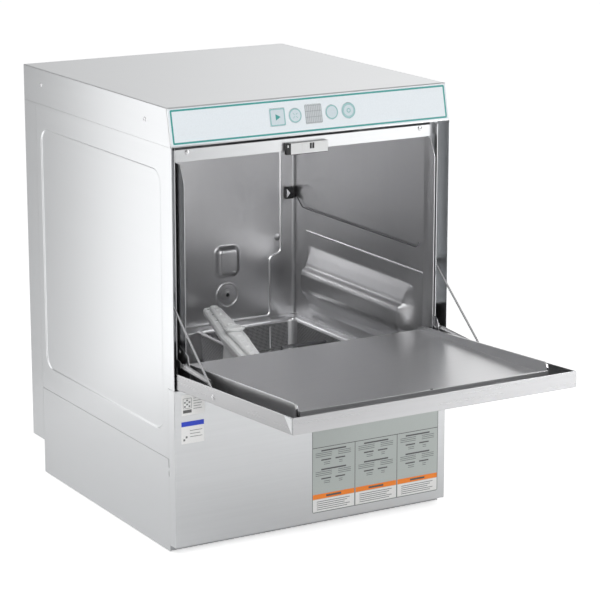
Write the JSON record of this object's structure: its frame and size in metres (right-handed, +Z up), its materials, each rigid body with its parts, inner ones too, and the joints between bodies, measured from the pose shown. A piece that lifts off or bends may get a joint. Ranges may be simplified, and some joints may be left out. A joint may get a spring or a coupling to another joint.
{
  "type": "undercounter commercial dishwasher",
  "caption": "Undercounter commercial dishwasher with a drop-down door on stay rods and springs, press keys, spinning wash and rinse arms, a drawn tank and a lift-out filter basket.",
  "frame": {"origin": "on the floor, under the centre of the whole machine's bounding box with its door open", "axes": "+Z up, +X to the right as seen from in front, +Y from the door towards the rear cover; the machine faces -Y"},
  "size_m": [0.6064, 1.0832, 0.851],
  "materials": {
    "brushed_steel": "vertical brushed stainless sheet",
    "chamber_steel": "satin deep-drawn stainless",
    "bright_wire": "bright drawn steel",
    "galvanised_steel": "galvanised, dull",
    "fascia_film": "pale blue-grey printed membrane with a teal line",
    "key_film": "pale membrane dome",
    "display_window": "grey tinted window",
    "light_plastic": "light grey moulded plastic",
    "dark_plastic": "black moulded plastic",
    "pump_plastic": "dark grey moulded plastic",
    "motor_paint": "grey enamel"
  },
  "bodies": {
    "cabinet": {"levelling_foot_front_left": "dark_plastic", "levelling_foot_front_right": "dark_plastic", "levelling_foot_rear_left": "dark_plastic", "levelling_foot_rear_right": "dark_plastic", "control_box": "dark_plastic", "door_switch": "dark_plastic", "cable_gland": "dark_plastic", "guide_rod": "dark_plastic", "base_frame": "galvanised_steel", "lower_side_panel_left": "brushed_steel", "lower_side_panel_right": "brushed_steel", "upper_side_panel_left": "brushed_steel", "upper_side_panel_right": "brushed_steel", "front_service_panel": "brushed_steel", "rear_cover": "brushed_steel", "top_hood": "brushed_steel", "header_bar": "brushed_steel", "frame_post_left": "brushed_steel", "frame_post_right": "brushed_steel", "booster_heater": "brushed_steel", "control_fascia": "fascia_film", "display_window": "display_window", "latch_plate": "light_plastic", "lower_manifold": "light_plastic", "lower_spindle_cap": "light_plastic", "upper_manifold": "light_plastic", "upper_spindle_cap": "light_plastic", "hinge_pin_left": "bright_wire", "hinge_pin_right": "bright_wire", "inlet_valve": "bright_wire", "chamber_wall_left": "chamber_steel", "chamber_wall_right": "chamber_steel", "chamber_back_wall": "chamber_steel", "chamber_ceiling": "chamber_steel", "tank_sill": "chamber_steel", "wash_tank": "chamber_steel", "filter_basket": "chamber_steel", "wash_pump": "pump_plastic", "drain_pump": "pump_plastic", "dosing_pump": "pump_plastic", "drain_outlet": "pump_plastic", "wash_motor": "motor_paint"},
    "door": {"door_outer_skin": "brushed_steel", "door_liner": "brushed_steel", "hinge_arm_left": "brushed_steel", "hinge_arm_right": "brushed_steel", "rod_bolt_left": "bright_wire", "rod_bolt_right": "bright_wire"},
    "stay_rod_left": {"stay_rod_left": "bright_wire"},
    "stay_rod_right": {"stay_rod_right": "bright_wire"},
    "counter_spring_left": {"counter_spring_left": "bright_wire"},
    "counter_spring_right": {"counter_spring_right": "bright_wire"},
    "start_key": {"start_key": "key_film"},
    "cycle_key": {"cycle_key": "key_film"},
    "menu_key": {"menu_key": "key_film"},
    "power_key": {"power_key": "key_film"},
    "lower_wash_arm": {"lower_wash_arm": "light_plastic"},
    "lower_rinse_arm": {"lower_rinse_arm": "light_plastic"},
    "upper_wash_arm": {"upper_wash_arm": "light_plastic"},
    "upper_rinse_arm": {"upper_rinse_arm": "light_plastic"}
  },
  "joints": [
    {"name": "door_hinge", "type": "hinge", "parent": "cabinet", "child": "door", "pos_m": [0, -0.10042, 0.3328], "axis": [-1, 0, 0], "range_deg": [0, 86.5]},
    {"name": "stay_rod_left_pivot", "type": "hinge", "parent": "door", "child": "stay_rod_left", "pos_m": [-0.293, -0.25483, 0.34725], "axis": [1, 0, 0], "range_deg": [0, 132.9]},
    {"name": "stay_rod_right_pivot", "type": "hinge", "parent": "door", "child": "stay_rod_right", "pos_m": [0.293, -0.25483, 0.34725], "axis": [1, 0, 0], "range_deg": [0, 132.9]},
    {"name": "counter_spring_left_pivot", "type": "hinge", "parent": "cabinet", "child": "counter_spring_left", "pos_m": [-0.2839, -0.10042, 0.3703], "axis": [-1, 0, 0], "range_deg": [0, 95.1]},
    {"name": "counter_spring_right_pivot", "type": "hinge", "parent": "cabinet", "child": "counter_spring_right", "pos_m": [0.2839, -0.10042, 0.3703], "axis": [-1, 0, 0], "range_deg": [0, 95.1]},
    {"name": "start_key_press", "type": "slide", "parent": "cabinet", "child": "start_key", "axis": [0, 0.977, -0.2133], "range_m": [0, 0.001], "stiffness_N_per_m": 600, "springref_m": -0.001},
    {"name": "cycle_key_press", "type": "slide", "parent": "cabinet", "child": "cycle_key", "axis": [0, 0.977, -0.2133], "range_m": [0, 0.001], "stiffness_N_per_m": 600, "springref_m": -0.001},
    {"name": "menu_key_press", "type": "slide", "parent": "cabinet", "child": "menu_key", "axis": [0, 0.977, -0.2133], "range_m": [0, 0.001], "stiffness_N_per_m": 600, "springref_m": -0.001},
    {"name": "power_key_press", "type": "slide", "parent": "cabinet", "child": "power_key", "axis": [0, 0.977, -0.2133], "range_m": [0, 0.001], "stiffness_N_per_m": 600, "springref_m": -0.001},
    {"name": "lower_wash_arm_spin", "type": "hinge", "parent": "cabinet", "child": "lower_wash_arm", "pos_m": [-0.016, 0.18358, 0.3222], "axis": [0, 0, 1], "continuous": true},
    {"name": "lower_rinse_arm_spin", "type": "hinge", "parent": "cabinet", "child": "lower_rinse_arm", "pos_m": [-0.016, 0.18358, 0.3342], "axis": [0, 0, 1], "continuous": true},
    {"name": "upper_wash_arm_spin", "type": "hinge", "parent": "cabinet", "child": "upper_wash_arm", "pos_m": [-0.016, 0.18358, 0.7548], "axis": [0, 0, 1], "continuous": true},
    {"name": "upper_rinse_arm_spin", "type": "hinge", "parent": "cabinet", "child": "upper_rinse_arm", "pos_m": [-0.016, 0.18358, 0.7422], "axis": [0, 0, 1], "continuous": true}
  ],
  "couplings": [
    {"joint": "stay_rod_left_pivot", "follows": "door_hinge", "ratio": 1.5353},
    {"joint": "counter_spring_left_pivot", "follows": "door_hinge", "ratio": 1.0983},
    {"joint": "stay_rod_right_pivot", "follows": "door_hinge", "ratio": 1.5353},
    {"joint": "counter_spring_right_pivot", "follows": "door_hinge", "ratio": 1.0983}
  ]
}
